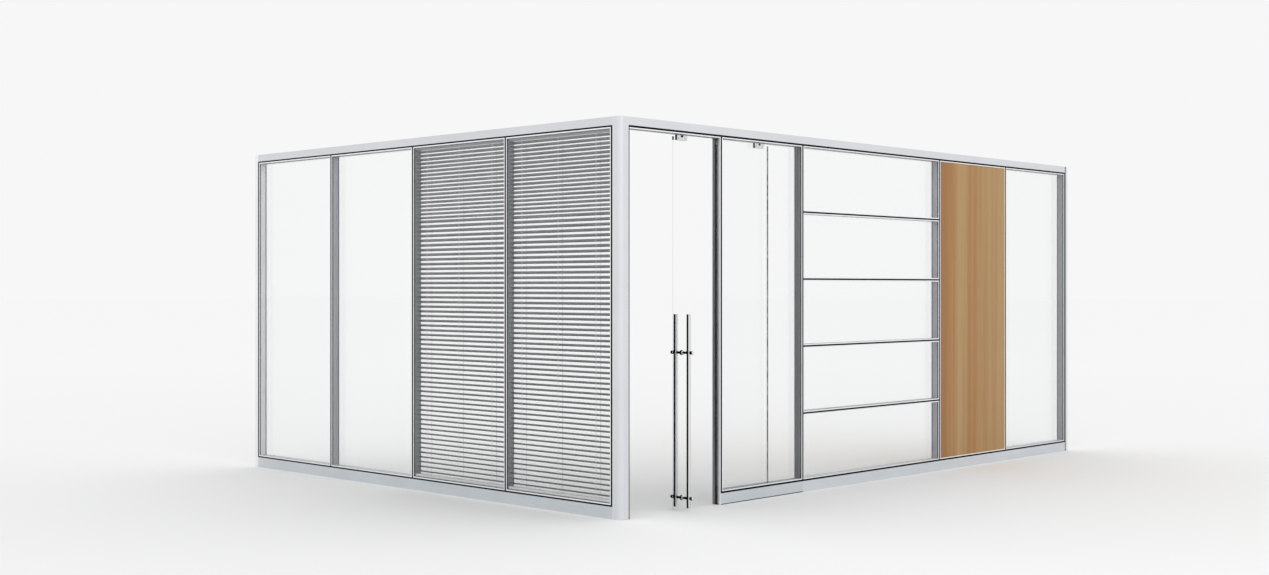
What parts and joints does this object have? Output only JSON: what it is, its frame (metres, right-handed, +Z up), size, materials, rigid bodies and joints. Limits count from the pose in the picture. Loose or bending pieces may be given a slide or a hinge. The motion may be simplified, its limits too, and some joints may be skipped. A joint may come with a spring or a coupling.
{
  "type": "interior glass partition",
  "caption": "L-shaped demountable office wall: double-glazed bays, blinds between panes, a wood panel, stacked panes and a sliding glass door with long bar handles.",
  "frame": {"origin": "on the floor, where the middle planes of the two wings cross, in the foot of the corner post", "axes": "+X along the right wing with the door, +Y along the left wing with the blinds, +Z up"},
  "size_m": [6.768, 5.0125, 3],
  "materials": {
    "aluminium": "satin anodised, light grey",
    "grey_aluminium": "satin anodised, mid grey",
    "glass": "clear float",
    "rubber": "black gasket",
    "wood": "oak veneer, lacquered",
    "slats": "satin silver coating",
    "cords": "braided",
    "polished_steel": "polished",
    "brushed_steel": "brushed",
    "plastic": "moulded"
  },
  "bodies": {
    "wall": {"blind_1_slats": "slats", "blind_2_slats": "slats", "blind_ladders": "cords", "blind_rails": "slats", "corner_foot_plate": "brushed_steel", "corner_post": "aluminium", "door_head_rail": "aluminium", "door_head_trim": "aluminium", "end_frame": "aluminium", "end_glass": "glass", "floor_guide": "plastic", "glass_mullion": "aluminium", "left_end_post": "aluminium", "left_floor_rail": "aluminium", "left_frame_1": "aluminium", "left_frame_2": "aluminium", "left_frame_3": "aluminium", "left_frame_4": "aluminium", "left_glass_1": "glass", "left_glass_2": "glass", "left_glass_3": "glass", "left_glass_4": "glass", "left_head_rail": "aluminium", "left_mullion_1": "grey_aluminium", "left_mullion_2": "grey_aluminium", "left_mullion_3": "grey_aluminium", "left_rubber": "rubber", "panel_frame": "aluminium", "panel_mullion": "grey_aluminium", "pocket_floor_rail": "aluminium", "pocket_frame": "aluminium", "pocket_glass": "glass", "pocket_post_inner": "grey_aluminium", "pocket_post_outer": "grey_aluminium", "right_end_post": "aluminium", "right_floor_rail": "aluminium", "right_head_rail": "aluminium", "right_rubber": "rubber", "veneer_panels": "wood", "wide_frames": "aluminium", "wide_glass": "glass", "wide_mullion": "grey_aluminium", "wide_transoms": "grey_aluminium"},
    "leaf": {"door_glass": "glass", "door_hanger_lead": "brushed_steel", "door_hanger_trail": "brushed_steel", "handle_bars": "polished_steel", "handle_fixings": "polished_steel"}
  },
  "joints": [
    {"name": "door_slide", "type": "slide", "parent": "wall", "child": "leaf", "axis": [1, 0, 0], "range_m": [-0.524, 0.37]}
  ]
}
